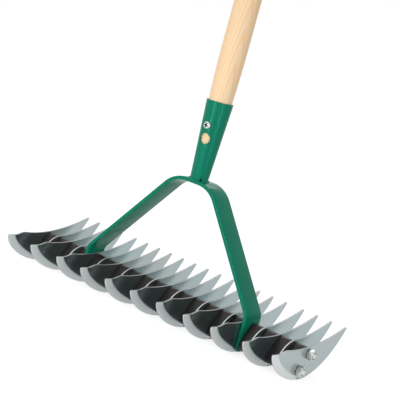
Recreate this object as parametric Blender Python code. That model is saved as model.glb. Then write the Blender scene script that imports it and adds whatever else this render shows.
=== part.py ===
"""Aerator rake: a wooden handle in a socket, a bent steel yoke, and a head of steel blades.

Eleven long crescent blades and ten short ones are threaded on two tie rods with a plastic spacer
between each pair. The yoke's two foot plates are clamped in the same stack.
X runs along the head, Y from the blunt blade fronts to the tines, and Z up along the handle.
All sizes are in metres.
"""

import math

import bmesh
import bpy
from mathutils import Matrix, Vector

# Clearance between pieces that touch on the real rake
GAP = 0.0003

# Head: blades, spacers and tie rods
LONG_BLADES = 11
SHORT_BLADES = 10
HALF_PITCH = 0.0180
BLADE_THICKNESS = 0.0018
EDGE_THICKNESS = 0.0011
ROD_RADIUS = 0.0030
SPACER_RADIUS = 0.0062
NUT_ACROSS_FLATS = 0.010
NUT_HEIGHT = 0.0060
NUT_COLLAR_HEIGHT = 0.0016
ROD_PROTRUSION = 0.0007

# Points of a blade, as (back, up) from its front corner
BLADE_HUMP = (0.0270, 0.0033)
BLADE_TIP = (0.1290, 0.0230)
BEVEL_START = (0.0095, 0.0)
BEVEL_END = (0.0633, -0.0289)
UPPER_ROD = (0.0674, -0.0026)
LOWER_ROD = (0.0554, -0.0193)
FRONT_CORNER_RADIUS = 0.0010
TIP_RADIUS = 0.0013

# Yoke: one flat bar, whose arms lean back a little from its foot plates to its crown
BAR_WIDTH = 0.0276
BAR_THICKNESS = 0.0040
BAR_EDGE_RADIUS = 0.0008
FOOT_BACK = 0.0646
CROWN_BACK = 0.0680
CROWN_RISE = 0.1228
CROWN_CORNER_X = 0.0249
CROWN_BEND_RADIUS = 0.0340
ARM_DROP = 0.1107
FOOT_BEND_RADIUS = 0.0150
FOOT_LENGTH = 0.0397
FOOT_CORNER_RADIUS = 0.0040
PLATE_AFTER = 6

# Socket: a rolled cone with an open seam, about the handle's axis
HANDLE_BACK = 0.0656
SOCKET_HEIGHT = 0.0857
SOCKET_FOOT_RADIUS = 0.0099
SOCKET_RIM_RADIUS = 0.0146
SOCKET_WALL = 0.0016
SEAM_GAP = 0.0009
SEAM_NOTCH_GAP = 0.0030
SEAM_NOTCH_HEIGHT = 0.0050
SEAM_ANGLE = math.radians(-48)
SOCKET_RIM_CHAMFER = 0.0004
PEEP_HOLE_RADIUS = 0.0058
PEEP_HOLE_HEIGHT = 0.0451
PEEP_HOLE_ANGLE = math.radians(-83)

# Fillet weld round the socket's foot, open at the foot of the seam
WELD_LEG = 0.0012
WELD_THROAT_SHARE = 0.42
WELD_OPEN_HALF_ANGLE = math.radians(9)

# Screw through the socket into the handle
SCREW_HEIGHT = 0.0594
SCREW_ANGLE = math.radians(-84)
SCREW_HEAD_RADIUS = 0.0040
SCREW_HEAD_HEIGHT = 0.0024
SCREW_SHANK_RADIUS = 0.0019
SCREW_LENGTH = 0.0180

# Handle
HANDLE_RADIUS = 0.0140
HANDLE_TOP = 1.5550
HANDLE_END = 0.0140
HANDLE_END_CHAMFER = 0.0015
HANDLE_TAPER_LENGTH = 0.0600
HANDLE_DOME_HEIGHT = 0.0090

# Facet counts
ROD_SIDES = 14
NUT_SIDES = 12
SCREW_SIDES = 16
PEEP_HOLE_SIDES = 24
SOCKET_SIDES = 40
WELD_STEPS = 28
HANDLE_SIDES = 32


def bezier(start, first, second, end, steps):
    """Points along a cubic Bezier curve, both ends included."""
    points = []
    for i in range(steps + 1):
        t = i / steps
        weights = ((1 - t) ** 3, 3 * (1 - t) ** 2 * t, 3 * (1 - t) * t ** 2, t ** 3)
        corners = (start, first, second, end)
        points.append(tuple(sum(w * c[axis] for w, c in zip(weights, corners)) for axis in (0, 1)))
    return points


def arc(centre, radius, start_angle, end_angle, steps):
    """Points along a circular arc, both ends included."""
    points = []
    for i in range(steps + 1):
        angle = start_angle + (end_angle - start_angle) * i / steps
        points.append((centre[0] + radius * math.cos(angle), centre[1] + radius * math.sin(angle)))
    return points


def material(name, colour, roughness, metallic):
    """A Principled material with one colour."""
    made = bpy.data.materials.new(name)
    made.use_nodes = True
    shader = made.node_tree.nodes["Principled BSDF"]
    shader.inputs["Base Color"].default_value = (*colour, 1.0)
    shader.inputs["Roughness"].default_value = roughness
    shader.inputs["Metallic"].default_value = metallic
    return made


def mesh_from(bm, name, sharp_degrees=35):
    """Turn a bmesh into a smooth-shaded mesh that keeps its hard edges."""
    bmesh.ops.recalc_face_normals(bm, faces=bm.faces)
    if bm.calc_volume(signed=True) < 0:
        bmesh.ops.reverse_faces(bm, faces=bm.faces)
    mesh = bpy.data.meshes.new(name)
    bm.to_mesh(mesh)
    bm.free()
    mesh.shade_smooth()
    mesh.set_sharp_from_angle(angle=math.radians(sharp_degrees))
    return mesh


def place(name, mesh, made_of, location=(0, 0, 0)):
    """Add a named object to the scene."""
    thing = bpy.data.objects.new(name, mesh)
    thing.location = location
    if not mesh.materials:
        mesh.materials.append(made_of)
    bpy.context.scene.collection.objects.link(thing)
    return thing


def cut(thing, cutter):
    """Cut one object's shape out of another."""
    boolean = thing.modifiers.new("Cut " + cutter.name, "BOOLEAN")
    boolean.operation = "DIFFERENCE"
    boolean.solver = "EXACT"
    boolean.object = cutter


def as_cutter(thing):
    """Keep a cutting shape out of the finished model."""
    thing.hide_render = True
    thing.display_type = "WIRE"
    return thing


def add_cylinder(bm, start, end, radius, sides):
    """A closed cylinder between two points."""
    axis = Vector(end) - Vector(start)
    turn = axis.to_track_quat("Z", "Y").to_matrix().to_4x4()
    middle = Matrix.Translation((Vector(start) + Vector(end)) / 2)
    bmesh.ops.create_cone(bm, cap_ends=True, segments=sides, radius1=radius, radius2=radius,
                          depth=axis.length, matrix=middle @ turn)


def turned(profile, sides):
    """Spin a profile of (radius, height) points that starts and ends on the Z axis."""
    bm = bmesh.new()
    points = [bm.verts.new((radius, 0, height)) for radius, height in profile]
    edges = [bm.edges.new(pair) for pair in zip(points, points[1:])]
    bmesh.ops.spin(bm, geom=points + edges, cent=(0, 0, 0), axis=(0, 0, 1),
                   angle=math.tau, steps=sides, use_merge=True)
    bmesh.ops.remove_doubles(bm, verts=bm.verts, dist=1e-6)
    return bm


def stack_x(step):
    """X of a blade's middle, counted in half pitches from the head's centre."""
    beyond_plate = abs(step) > PLATE_AFTER
    return step * HALF_PITCH + math.copysign(BAR_THICKNESS + GAP, step) * beyond_plate


def extruded(outline, width):
    """A flat plate from a (y, z) outline, with its thickness along X and centred on X = 0."""
    bm = bmesh.new()
    face = bm.faces.new([bm.verts.new((-width / 2, y, z)) for y, z in outline])
    grown = bmesh.ops.extrude_face_region(bm, geom=[face])
    moved = [item for item in grown["geom"] if isinstance(item, bmesh.types.BMVert)]
    bmesh.ops.translate(bm, verts=moved, vec=(width, 0, 0))
    return bm


def round_edges_near(bm, points, radius, segments):
    """Round the edges across the thickness that pass through the given (y, z) points."""
    for y, z in points:
        crossing = [edge for edge in bm.edges if all(
            math.hypot(v.co.y - y, v.co.z - z) < 1e-5 for v in edge.verts)]
        bmesh.ops.bevel(bm, geom=crossing, offset=radius, offset_type="OFFSET", segments=segments,
                        profile=0.5, affect="EDGES", clamp_overlap=True)


# Blade outlines, as (back, up) points from the long blade's front corner
TINE_TOP = bezier(BLADE_HUMP, (0.0520, 0.0014), (0.0880, 0.0054), BLADE_TIP, 12)
TINE_BOTTOM = bezier(BEVEL_END, (0.0880, -0.0264), (0.1150, -0.0056), BLADE_TIP, 9)
CUTTING_EDGE = bezier((0, 0), (0.0012, -0.0142), (0.0330, -0.0318), BEVEL_END, 12)
BEVEL_BORDER = bezier(BEVEL_START, (0.0140, -0.0105), (0.0360, -0.0215), BEVEL_END, 12)
CORNER_TO_HUMP = bezier(BEVEL_START, (0.0155, -0.0002), (0.0200, BLADE_HUMP[1]), BLADE_HUMP, 5)


def long_blade_mesh():
    """A crescent plate whose convex front edge is ground to a bevel on both faces."""
    flat = CORNER_TO_HUMP + TINE_TOP[1:] + TINE_BOTTOM[-2::-1] + BEVEL_BORDER[-2:0:-1]
    bm = bmesh.new()
    corners = {}
    for side in (-1, 1):
        half = side * BLADE_THICKNESS / 2
        corners[side] = {point: bm.verts.new((half, *point)) for point in flat}
        bm.faces.new([corners[side][point] for point in flat])
        edge = {point: bm.verts.new((side * EDGE_THICKNESS / 2, *point)) for point in CUTTING_EDGE[:-1]}
        edge[BEVEL_END] = corners[side][BEVEL_END]
        corners[side].update(edge)
        for i in range(len(CUTTING_EDGE) - 1):
            ring = [CUTTING_EDGE[i], CUTTING_EDGE[i + 1], BEVEL_BORDER[i + 1], BEVEL_BORDER[i]]
            quad = [corners[side][point] for point in ring]
            bm.faces.new(list(dict.fromkeys(quad)))
    rim = CUTTING_EDGE + TINE_BOTTOM[1:] + TINE_TOP[-2::-1] + CORNER_TO_HUMP[-2::-1]
    for here, there in zip(rim, rim[1:] + rim[:1]):
        bm.faces.new([corners[-1][here], corners[-1][there], corners[1][there], corners[1][here]])
    round_edges_near(bm, [(0, 0)], FRONT_CORNER_RADIUS, 2)
    round_edges_near(bm, [BLADE_TIP], TIP_RADIUS, 2)
    return mesh_from(bm, "Long blade", 2)


def short_blade_mesh():
    """The same tine on a plate whose front is cut round, just ahead of the spacers."""
    nose_top = bezier(TINE_TOP[6], (0.0600, 0.0060), (0.0520, 0.0030), (0.0440, -0.0080), 7)
    nose_front = bezier(nose_top[-1], (0.0395, -0.0145), (0.0385, -0.0290), (0.0590, -0.0289), 8)
    outline = TINE_TOP[6:] + TINE_BOTTOM[-2::-1] + nose_front[::-1] + nose_top[-2:0:-1]
    bm = extruded(outline, BLADE_THICKNESS)
    round_edges_near(bm, [BLADE_TIP], TIP_RADIUS, 2)
    return mesh_from(bm, "Short blade")


def spacer_mesh():
    """A plastic block with a round end about each rod and flat faces between them."""
    lean = math.atan2(UPPER_ROD[1] - LOWER_ROD[1], UPPER_ROD[0] - LOWER_ROD[0])
    quarter = math.pi / 2
    outline = arc(UPPER_ROD, SPACER_RADIUS, lean - quarter, lean + quarter, 7)
    outline += arc(LOWER_ROD, SPACER_RADIUS, lean + quarter, lean + 3 * quarter, 7)
    length = HALF_PITCH - BLADE_THICKNESS - 2 * GAP
    return mesh_from(extruded(outline, length), "Spacer")


def rod_mesh(half_length):
    """A plain round bar with a small chamfer at each end."""
    chamfer = ROD_RADIUS / 5
    profile = [(0, -half_length), (ROD_RADIUS - chamfer, -half_length), (ROD_RADIUS, chamfer - half_length),
               (ROD_RADIUS, half_length - chamfer), (ROD_RADIUS - chamfer, half_length), (0, half_length)]
    bm = turned(profile, ROD_SIDES)
    bmesh.ops.rotate(bm, verts=bm.verts, cent=(0, 0, 0), matrix=Matrix.Rotation(math.pi / 2, 3, "Y"))
    return mesh_from(bm, "Tie rod")


def nut_mesh():
    """A self-locking nut along +X: a hexagon with a round collar on its outer end."""
    flat = NUT_ACROSS_FLATS / 2
    corner = flat / math.cos(math.pi / 6)
    bore = ROD_RADIUS + GAP
    shoulder = NUT_HEIGHT - NUT_COLLAR_HEIGHT
    rings = [(corner, flat, 0), (corner, flat, shoulder), (flat * 0.97, flat * 0.97, shoulder),
             (flat * 0.84, flat * 0.84, NUT_HEIGHT), (bore, bore, NUT_HEIGHT), (bore, bore, 0)]
    bm = bmesh.new()
    loops = []
    for even_radius, odd_radius, height in rings:
        loop = []
        for i in range(NUT_SIDES):
            radius = odd_radius if i % 2 else even_radius
            angle = math.tau * i / NUT_SIDES
            loop.append(bm.verts.new((height, radius * math.cos(angle), radius * math.sin(angle))))
        loops.append(loop)
    for low, high in zip(loops, loops[1:] + loops[:1]):
        for i in range(NUT_SIDES):
            bm.faces.new([low[i - 1], low[i], high[i], high[i - 1]])
    return mesh_from(bm, "Nut")


def bar_path(foot_x):
    """Outer face of half the yoke, from its middle to a foot, as (length so far, place, outward normal)."""
    slope = math.atan2(ARM_DROP, foot_x - CROWN_CORNER_X)
    flat, along_arm, upright = math.pi / 2, math.pi / 2 - slope, 0.0
    places = [(Vector((0, 0)), flat)]
    bends = ((Vector((CROWN_CORNER_X, 0)), CROWN_BEND_RADIUS, flat, along_arm, 8),
             (Vector((foot_x, -ARM_DROP)), FOOT_BEND_RADIUS, along_arm, upright, 5))
    for corner, radius, first, last, steps in bends:
        middle = (first + last) / 2
        centre = corner - Vector((math.cos(middle), math.sin(middle))) * radius / math.cos((first - last) / 2)
        for i in range(steps + 1):
            angle = first + (last - first) * i / steps
            places.append((centre + Vector((math.cos(angle), math.sin(angle))) * radius, angle))
    places.append((Vector((foot_x, -ARM_DROP - FOOT_LENGTH)), upright))
    path = []
    length = 0.0
    for i, (place_here, angle) in enumerate(places):
        length += (place_here - places[max(i - 1, 0)][0]).length
        path.append((length, place_here, Vector((math.cos(angle), math.sin(angle)))))
    return path


def yoke_mesh(foot_x):
    """A flat bar with rounded end corners and eased edges, bent along its path like the real one."""
    path = bar_path(foot_x)
    reach = path[-1][0]
    bm = bmesh.new()
    bmesh.ops.create_cube(bm, size=1, matrix=Matrix.Diagonal((2 * reach, BAR_WIDTH, BAR_THICKNESS, 1)))
    corners = [edge for edge in bm.edges if abs(edge.verts[0].co.z - edge.verts[1].co.z) > GAP]
    bmesh.ops.bevel(bm, geom=corners, offset=FOOT_CORNER_RADIUS, segments=4, profile=0.5, affect="EDGES")
    rims = [edge for edge in bm.edges if abs(edge.verts[0].co.z - edge.verts[1].co.z) < GAP]
    bmesh.ops.bevel(bm, geom=rims, offset=BAR_EDGE_RADIUS, segments=2, profile=0.5, affect="EDGES")
    for length, _, _ in path[:-1]:
        for side in {length, -length}:
            everything = bm.verts[:] + bm.edges[:] + bm.faces[:]
            bmesh.ops.bisect_plane(bm, geom=everything, plane_co=(side, 0, 0), plane_no=(1, 0, 0), dist=1e-7)
    for vertex in bm.verts:
        along = abs(vertex.co.x)
        after = next(i for i in range(1, len(path)) if along <= path[i][0] + 1e-6)
        (start, here, normal), (end, there, next_normal) = path[after - 1], path[after]
        share = min(max((along - start) / (end - start), 0.0), 1.0)
        surface = here.lerp(there, share)
        outward = normal.lerp(next_normal, share).normalized()
        bent = surface - outward * (BAR_THICKNESS / 2 - vertex.co.z)
        down = min(max(-bent.y / ARM_DROP, 0.0), 1.0)
        leaning = vertex.co.y - (CROWN_BACK - FOOT_BACK) * down
        vertex.co = (math.copysign(bent.x, vertex.co.x), leaning, bent.y)
    return mesh_from(bm, "Yoke", 30)


def socket_radius(height):
    """Outer radius of the socket's cone at a height above the crown."""
    return SOCKET_FOOT_RADIUS + (SOCKET_RIM_RADIUS - SOCKET_FOOT_RADIUS) * height / SOCKET_HEIGHT


def socket_mesh():
    """Sheet rolled into a cone: its two edges stand a little apart, and wider at a notch by the foot."""
    rows = [(GAP, SEAM_NOTCH_GAP), (SEAM_NOTCH_HEIGHT * 0.6, SEAM_NOTCH_GAP * 0.9),
            (SEAM_NOTCH_HEIGHT, SEAM_GAP), (SOCKET_HEIGHT - SOCKET_RIM_CHAMFER, SEAM_GAP),
            (SOCKET_HEIGHT, SEAM_GAP)]
    bm = bmesh.new()
    sheets = []
    for height, gap in rows:
        outer = socket_radius(height) - SOCKET_RIM_CHAMFER * (height == SOCKET_HEIGHT)
        inner = socket_radius(height) - SOCKET_WALL
        half_gap = gap / 2 / outer
        row = []
        for i in range(SOCKET_SIDES + 1):
            angle = SEAM_ANGLE + half_gap + (math.tau - 2 * half_gap) * i / SOCKET_SIDES
            x, y = math.cos(angle), math.sin(angle)
            row.append([bm.verts.new((radius * x, radius * y, height)) for radius in (outer, inner)])
        sheets.append(row)
    for low, high in zip(sheets, sheets[1:]):
        for i in range(SOCKET_SIDES):
            for skin in (0, 1):
                bm.faces.new([low[i][skin], low[i + 1][skin], high[i + 1][skin], high[i][skin]])
        for i in (0, SOCKET_SIDES):
            bm.faces.new([low[i][0], low[i][1], high[i][1], high[i][0]])
    for row in (sheets[0], sheets[-1]):
        for here, there in zip(row, row[1:]):
            bm.faces.new([here[0], here[1], there[1], there[0]])
    return mesh_from(bm, "Socket")


def handle_mesh():
    """A turned pole: tapered to fit the socket, straight above it, and domed at the top."""
    def seat(height):
        return socket_radius(height) - SOCKET_WALL - GAP

    rim = seat(SOCKET_HEIGHT)
    taper_top = SOCKET_HEIGHT + HANDLE_TAPER_LENGTH
    shoulder = HANDLE_TOP - HANDLE_DOME_HEIGHT
    chamfer_top = HANDLE_END + HANDLE_END_CHAMFER
    foot = [(0, HANDLE_END), (seat(HANDLE_END) - HANDLE_END_CHAMFER, HANDLE_END),
            (seat(chamfer_top), chamfer_top)]
    taper = bezier((rim, SOCKET_HEIGHT), (rim + 0.0006, SOCKET_HEIGHT + 0.0150),
                   (HANDLE_RADIUS, taper_top - 0.0250), (HANDLE_RADIUS, taper_top), 5)
    dome = [(HANDLE_RADIUS * math.cos(angle), shoulder + HANDLE_DOME_HEIGHT * math.sin(angle))
            for angle in (math.pi / 2 * i / 6 for i in range(6))]
    return mesh_from(turned(foot + taper + dome + [(0, HANDLE_TOP)], HANDLE_SIDES), "Handle")


def screw_mesh():
    """A domed head outside the socket and a pointed shank in the wood, driven along +X."""
    head = [(0, -SCREW_HEAD_HEIGHT)]
    head += [(SCREW_HEAD_RADIUS * math.sin(angle), -SCREW_HEAD_HEIGHT * (0.25 + 0.75 * math.cos(angle)))
             for angle in (math.pi / 2 * i / 4 for i in range(1, 5))]
    shank = [(SCREW_HEAD_RADIUS, 0), (SCREW_SHANK_RADIUS, 0),
             (SCREW_SHANK_RADIUS, SCREW_LENGTH - 2 * SCREW_SHANK_RADIUS), (0, SCREW_LENGTH)]
    bm = turned(head + shank, SCREW_SIDES)
    bmesh.ops.rotate(bm, verts=bm.verts, cent=(0, 0, 0), matrix=Matrix.Rotation(math.pi / 2, 3, "Y"))
    return mesh_from(bm, "Screw")


def weld_mesh():
    """A fillet bead round the foot of the socket: a slightly sunk triangle swept about the handle's axis."""
    foot = SOCKET_FOOT_RADIUS + GAP
    throat = WELD_LEG * WELD_THROAT_SHARE
    top = socket_radius(GAP + WELD_LEG) + GAP
    section = [(foot, GAP), (foot + WELD_LEG, GAP), (foot + throat, GAP + throat), (top, GAP + WELD_LEG)]
    bm = bmesh.new()
    points = [bm.verts.new((radius, 0, height)) for radius, height in section]
    face = bm.faces.new(points)
    start = Matrix.Rotation(SEAM_ANGLE + WELD_OPEN_HALF_ANGLE, 3, "Z")
    bmesh.ops.rotate(bm, verts=points, cent=(0, 0, 0), matrix=start)
    bmesh.ops.spin(bm, geom=[face] + face.edges[:] + points, cent=(0, 0, 0), axis=(0, 0, 1),
                   angle=math.tau - 2 * WELD_OPEN_HALF_ANGLE, steps=WELD_STEPS)
    return mesh_from(bm, "Weld bead", 40)


for leftover in list(bpy.data.objects):
    bpy.data.objects.remove(leftover)

# Materials
GREEN_PAINT = material("Green paint", (0.018, 0.190, 0.115), 0.25, 0.0)
BRIGHT_STEEL = material("Bright zinc-plated steel", (0.62, 0.66, 0.66), 0.22, 1.0)
ZINC = material("Zinc-plated fasteners", (0.70, 0.71, 0.69), 0.30, 1.0)
BLACK_PLASTIC = material("Black plastic", (0.022, 0.018, 0.016), 0.45, 0.0)
PALE_WOOD = material("Pale softwood", (0.93, 0.74, 0.50), 0.55, 0.0)

# Places of the main groups: the blades stand on Z = 0 and reach as far forward as back
long_mesh = long_blade_mesh()
blade_reach = [vertex.co.y for vertex in long_mesh.vertices]
HEAD_Z = -min(vertex.co.z for vertex in long_mesh.vertices)
HEAD_Y = -(min(blade_reach) + max(blade_reach)) / 2
HANDLE_Y = HEAD_Y + HANDLE_BACK
CROWN_Z = HEAD_Z + CROWN_RISE
FOOT_X = stack_x(PLATE_AFTER) + BLADE_THICKNESS / 2 + GAP + BAR_THICKNESS
NUT_FACE = stack_x(LONG_BLADES - 1) + BLADE_THICKNESS / 2 + GAP
ROD_HALF_LENGTH = NUT_FACE + NUT_HEIGHT + ROD_PROTRUSION
HEAD = (0, HEAD_Y, HEAD_Z)
SOCKET_FOOT = Vector((0, HANDLE_Y, CROWN_Z))

# Clearance bores for the two rods, through everything on them
bores = bmesh.new()
for back, up in (UPPER_ROD, LOWER_ROD):
    add_cylinder(bores, (-ROD_HALF_LENGTH, back, up), (ROD_HALF_LENGTH, back, up), ROD_RADIUS + GAP, ROD_SIDES)
rod_bores = as_cutter(place("rod_bores", mesh_from(bores, "Rod bores"), ZINC, HEAD))

# Blades
for i in range(LONG_BLADES):
    x = stack_x(2 * i - (LONG_BLADES - 1))
    blade = place(f"long_blade_{i + 1:02d}", long_mesh, BRIGHT_STEEL, (x, HEAD_Y, HEAD_Z))
    cut(blade, rod_bores)
short_mesh = short_blade_mesh()
for i in range(SHORT_BLADES):
    x = stack_x(2 * i - (SHORT_BLADES - 1))
    blade = place(f"short_blade_{i + 1:02d}", short_mesh, BRIGHT_STEEL, (x, HEAD_Y, HEAD_Z))
    cut(blade, rod_bores)

# Spacers, each against the inner side of the blade that is farther from the middle
block = spacer_mesh()
for i in range(LONG_BLADES + SHORT_BLADES - 1):
    inner = i - (LONG_BLADES - 1)
    outer = inner + 1 if inner >= 0 else inner
    x = stack_x(outer) - math.copysign(HALF_PITCH / 2, outer)
    spacer = place(f"spacer_{i + 1:02d}", block, BLACK_PLASTIC, (x, HEAD_Y, HEAD_Z))
    cut(spacer, rod_bores)

# Tie rods and their nuts
rod = rod_mesh(ROD_HALF_LENGTH)
for name, (back, up) in (("upper_tie_rod", UPPER_ROD), ("lower_tie_rod", LOWER_ROD)):
    place(name, rod, ZINC, (0, HEAD_Y + back, HEAD_Z + up))
nut = nut_mesh()
for end_name, side in (("left", -1), ("right", 1)):
    for rod_name, (back, up) in (("upper", UPPER_ROD), ("lower", LOWER_ROD)):
        nut_place = (side * NUT_FACE, HEAD_Y + back, HEAD_Z + up)
        placed = place(f"{end_name}_{rod_name}_nut", nut, ZINC, nut_place)
        placed.rotation_euler.z = math.pi * (side < 0)

# Yoke
yoke = place("yoke", yoke_mesh(FOOT_X), GREEN_PAINT, (0, HEAD_Y + CROWN_BACK, CROWN_Z))
cut(yoke, rod_bores)

# Weld and socket, with a hole for the screw and a larger one below it
place("weld_bead", weld_mesh(), GREEN_PAINT, SOCKET_FOOT)
front_holes = bmesh.new()
for height, angle, radius, sides in ((SCREW_HEIGHT, SCREW_ANGLE, SCREW_SHANK_RADIUS + GAP, SCREW_SIDES),
                                     (PEEP_HOLE_HEIGHT, PEEP_HOLE_ANGLE, PEEP_HOLE_RADIUS, PEEP_HOLE_SIDES)):
    outside = 2 * SOCKET_RIM_RADIUS
    start = (outside * math.cos(angle), outside * math.sin(angle), height)
    add_cylinder(front_holes, start, (0, 0, height), radius, sides)
socket_holes = as_cutter(place("socket_holes", mesh_from(front_holes, "Socket holes"), ZINC, SOCKET_FOOT))
socket = place("socket", socket_mesh(), GREEN_PAINT, SOCKET_FOOT)
cut(socket, socket_holes)

# Screw, and the handle with a bore for it
screw_way = Vector((math.cos(SCREW_ANGLE), math.sin(SCREW_ANGLE), 0))
screw_seat = screw_way * (socket_radius(SCREW_HEIGHT) + GAP) + Vector((0, 0, SCREW_HEIGHT))
pilot_end = screw_seat - screw_way * (SCREW_LENGTH + SCREW_SHANK_RADIUS)
pilot = bmesh.new()
add_cylinder(pilot, screw_seat, pilot_end, SCREW_SHANK_RADIUS + GAP, SCREW_SIDES)
screw_pilot = as_cutter(place("screw_pilot", mesh_from(pilot, "Screw pilot"), ZINC, SOCKET_FOOT))
handle = place("handle", handle_mesh(), PALE_WOOD, SOCKET_FOOT)
cut(handle, screw_pilot)
screw = place("socket_screw", screw_mesh(), ZINC, SOCKET_FOOT + screw_seat)
screw.rotation_euler.z = SCREW_ANGLE + math.pi
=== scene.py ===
"""Aerator rake in a white studio: every piece of the head, the yoke, the socket and the handle.

X runs along the head, Y from the blunt blade fronts to the tines, and Z up along the handle, in metres.
"""

import math

import bmesh
import bpy
from mathutils import Matrix, Vector


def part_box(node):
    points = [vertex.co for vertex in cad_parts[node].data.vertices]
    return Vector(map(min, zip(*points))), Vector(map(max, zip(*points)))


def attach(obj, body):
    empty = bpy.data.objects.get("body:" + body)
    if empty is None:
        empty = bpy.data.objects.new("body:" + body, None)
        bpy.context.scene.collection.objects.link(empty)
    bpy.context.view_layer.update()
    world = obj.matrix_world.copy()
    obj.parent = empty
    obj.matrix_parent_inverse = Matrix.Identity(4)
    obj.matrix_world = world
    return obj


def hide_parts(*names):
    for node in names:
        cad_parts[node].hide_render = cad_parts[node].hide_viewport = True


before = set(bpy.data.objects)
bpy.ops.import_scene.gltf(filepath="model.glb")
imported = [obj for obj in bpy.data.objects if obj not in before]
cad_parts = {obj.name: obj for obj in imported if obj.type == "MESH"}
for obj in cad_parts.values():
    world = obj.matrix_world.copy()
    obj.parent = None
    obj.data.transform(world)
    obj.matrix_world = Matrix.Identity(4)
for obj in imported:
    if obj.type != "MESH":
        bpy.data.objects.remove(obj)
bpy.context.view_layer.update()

# Tie rods
# Two lengths of zinc-plated M6 steel rod run through every blade, spacer and foot plate.
# Their ends are threaded, and the nuts clamp the whole head between them.
ROD_RADIUS = 0.0030
ROD_SIDES = 40
THREAD_PITCH = 0.0010
THREAD_DEPTH = 0.0005
THREAD_TURNS = 9
THREAD_CREST_DROP = 0.00004
THREAD_CREST_HALF_WIDTH = 0.00006
MERGE_DISTANCE = 1e-6
NOISE_RANGE = (0.3, 0.7)


def node(tree, kind, inputs=None, **settings):
    """Add a shader node: an input is either a value or another node's output to link."""
    made = tree.nodes.new("ShaderNode" + kind)
    for name, value in settings.items():
        setattr(made, name, value)
    for key, value in (inputs or {}).items():
        if isinstance(value, bpy.types.NodeSocket):
            tree.links.new(value, made.inputs[key])
        else:
            made.inputs[key].default_value = value
    return made


def maths(tree, operation, *values):
    """The output of a Math node."""
    return node(tree, "Math", dict(enumerate(values)), operation=operation).outputs[0]


def ranged(tree, value, low, high, start=0.0, end=1.0):
    """A value's range from low to high, put onto the range from start to end."""
    given = {"Value": value, "From Min": low, "From Max": high, "To Min": start, "To Max": end}
    return node(tree, "MapRange", given).outputs["Result"]


def noise(tree, place, scale, detail):
    """The output of a Noise Texture node."""
    return node(tree, "TexNoise", {"Vector": place, "Scale": scale, "Detail": detail}).outputs["Fac"]


def blended(tree, share, first, second, blend_type="MIX"):
    """Two colours blended: the first alone where the share is zero."""
    mix = node(tree, "Mix", {0: share, 6: first, 7: second}, data_type="RGBA", blend_type=blend_type)
    return mix.outputs[2]


def finish_group():
    """The effect that every finish here shares: a smooth blotch over the surface and a fine grain on it."""
    group = bpy.data.node_groups.new("Blotch and grain", "ShaderNodeTree")
    for name, kind, value in (("Vector", "Vector", None), ("Blotch scale", "Float", 20.0),
                              ("Grain scale", "Float", 900.0), ("Low", "Float", 0.2), ("High", "Float", 0.3)):
        socket = group.interface.new_socket(name, in_out="INPUT", socket_type="NodeSocket" + kind)
        if value is not None:
            socket.default_value = value
    for name in ("Roughness", "Shade", "Height"):
        group.interface.new_socket(name, in_out="OUTPUT", socket_type="NodeSocketFloat")
    given = group.nodes.new("NodeGroupInput").outputs
    blotch = noise(group, given["Vector"], given["Blotch scale"], 4.0)
    grain = noise(group, given["Vector"], given["Grain scale"], 2.0)
    both = maths(group, "MULTIPLY", maths(group, "ADD", blotch, grain), 0.5)
    rough = ranged(group, both, *NOISE_RANGE, given["Low"], given["High"])
    given_back = group.nodes.new("NodeGroupOutput").inputs
    group.links.new(rough, given_back["Roughness"])
    group.links.new(blotch, given_back["Shade"])
    group.links.new(grain, given_back["Height"])
    return group


BLOTCH_AND_GRAIN = finish_group()


def finish(name, dark, light, low, high, metallic, bump, stretch=(1, 1, 1), blotch=20.0, grain=900.0):
    """A Principled finish whose colour runs between two shades and whose roughness runs from low to high."""
    made = bpy.data.materials.new(name)
    made.use_nodes = True
    tree = made.node_tree
    shader = tree.nodes["Principled BSDF"]
    place = node(tree, "Mapping", {"Vector": node(tree, "TexCoord").outputs["Object"], "Scale": stretch})
    effect = node(tree, "Group", node_tree=BLOTCH_AND_GRAIN)
    tree.links.new(place.outputs["Vector"], effect.inputs["Vector"])
    for key, value in (("Blotch scale", blotch), ("Grain scale", grain), ("Low", low), ("High", high)):
        effect.inputs[key].default_value = value
    share = ranged(tree, effect.outputs["Shade"], *NOISE_RANGE)
    relief = node(tree, "Bump", {"Height": effect.outputs["Height"], "Strength": 0.6, "Distance": bump})
    tree.links.new(blended(tree, share, (*dark, 1), (*light, 1)), shader.inputs["Base Color"])
    tree.links.new(effect.outputs["Roughness"], shader.inputs["Roughness"])
    tree.links.new(relief.outputs["Normal"], shader.inputs["Normal"])
    shader.inputs["Metallic"].default_value = metallic
    return made


FASTENER_ZINC = finish("Zinc plate on fasteners", (0.50, 0.53, 0.52), (0.64, 0.66, 0.64), 0.30, 0.42,
                       metallic=1.0, bump=0.00003)


def middle(name):
    """The middle of a node's box."""
    low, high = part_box(name)
    return (low + high) / 2


def show(bm, name, replaced, finishes, sharp_degrees=32):
    """Make a smooth-shaded piece from a bmesh, on the object's one body, in place of a node."""
    mesh = bpy.data.meshes.new(name)
    bm.to_mesh(mesh)
    bm.free()
    mesh.shade_smooth()
    mesh.set_sharp_from_angle(angle=math.radians(sharp_degrees))
    for one in finishes:
        mesh.materials.append(one)
    piece = bpy.data.objects.new(name, mesh)
    bpy.context.scene.collection.objects.link(piece)
    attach(piece, "root")
    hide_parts(replaced)
    return piece


def z_turned_to(axis):
    """The turn that takes the Z axis to another one."""
    return Vector((0, 0, 1)).rotation_difference(Vector(axis)).to_matrix()


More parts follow.
